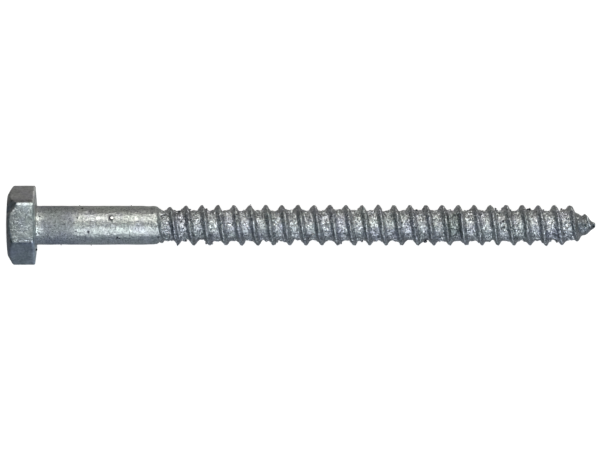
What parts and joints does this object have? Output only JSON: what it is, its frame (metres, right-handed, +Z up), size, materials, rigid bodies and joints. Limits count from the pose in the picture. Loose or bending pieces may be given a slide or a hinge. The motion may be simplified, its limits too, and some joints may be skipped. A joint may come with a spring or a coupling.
{
  "type": "lag screw",
  "caption": "Hex head lag screw with a plain shank, a coarse wood thread that grows out of the shank, and a gimlet point, in hot-dip galvanised steel.",
  "frame": {"origin": "centre of the bearing face under the head, on the screw's axis", "axes": "+X towards the point, along the screw as it lies on the ground (the axis itself dips 1.55 degrees towards the point, because the screw rests on one flat of the head and on the thread near the point), +Z up, +Y to the left seen from the head"},
  "size_m": [0.0932, 0.0126, 0.0112],
  "materials": {
    "zinc": "hot-dip galvanised, dull and lumpy"
  },
  "bodies": {
    "root": {"lag_screw": "zinc"}
  },
  "joints": []
}
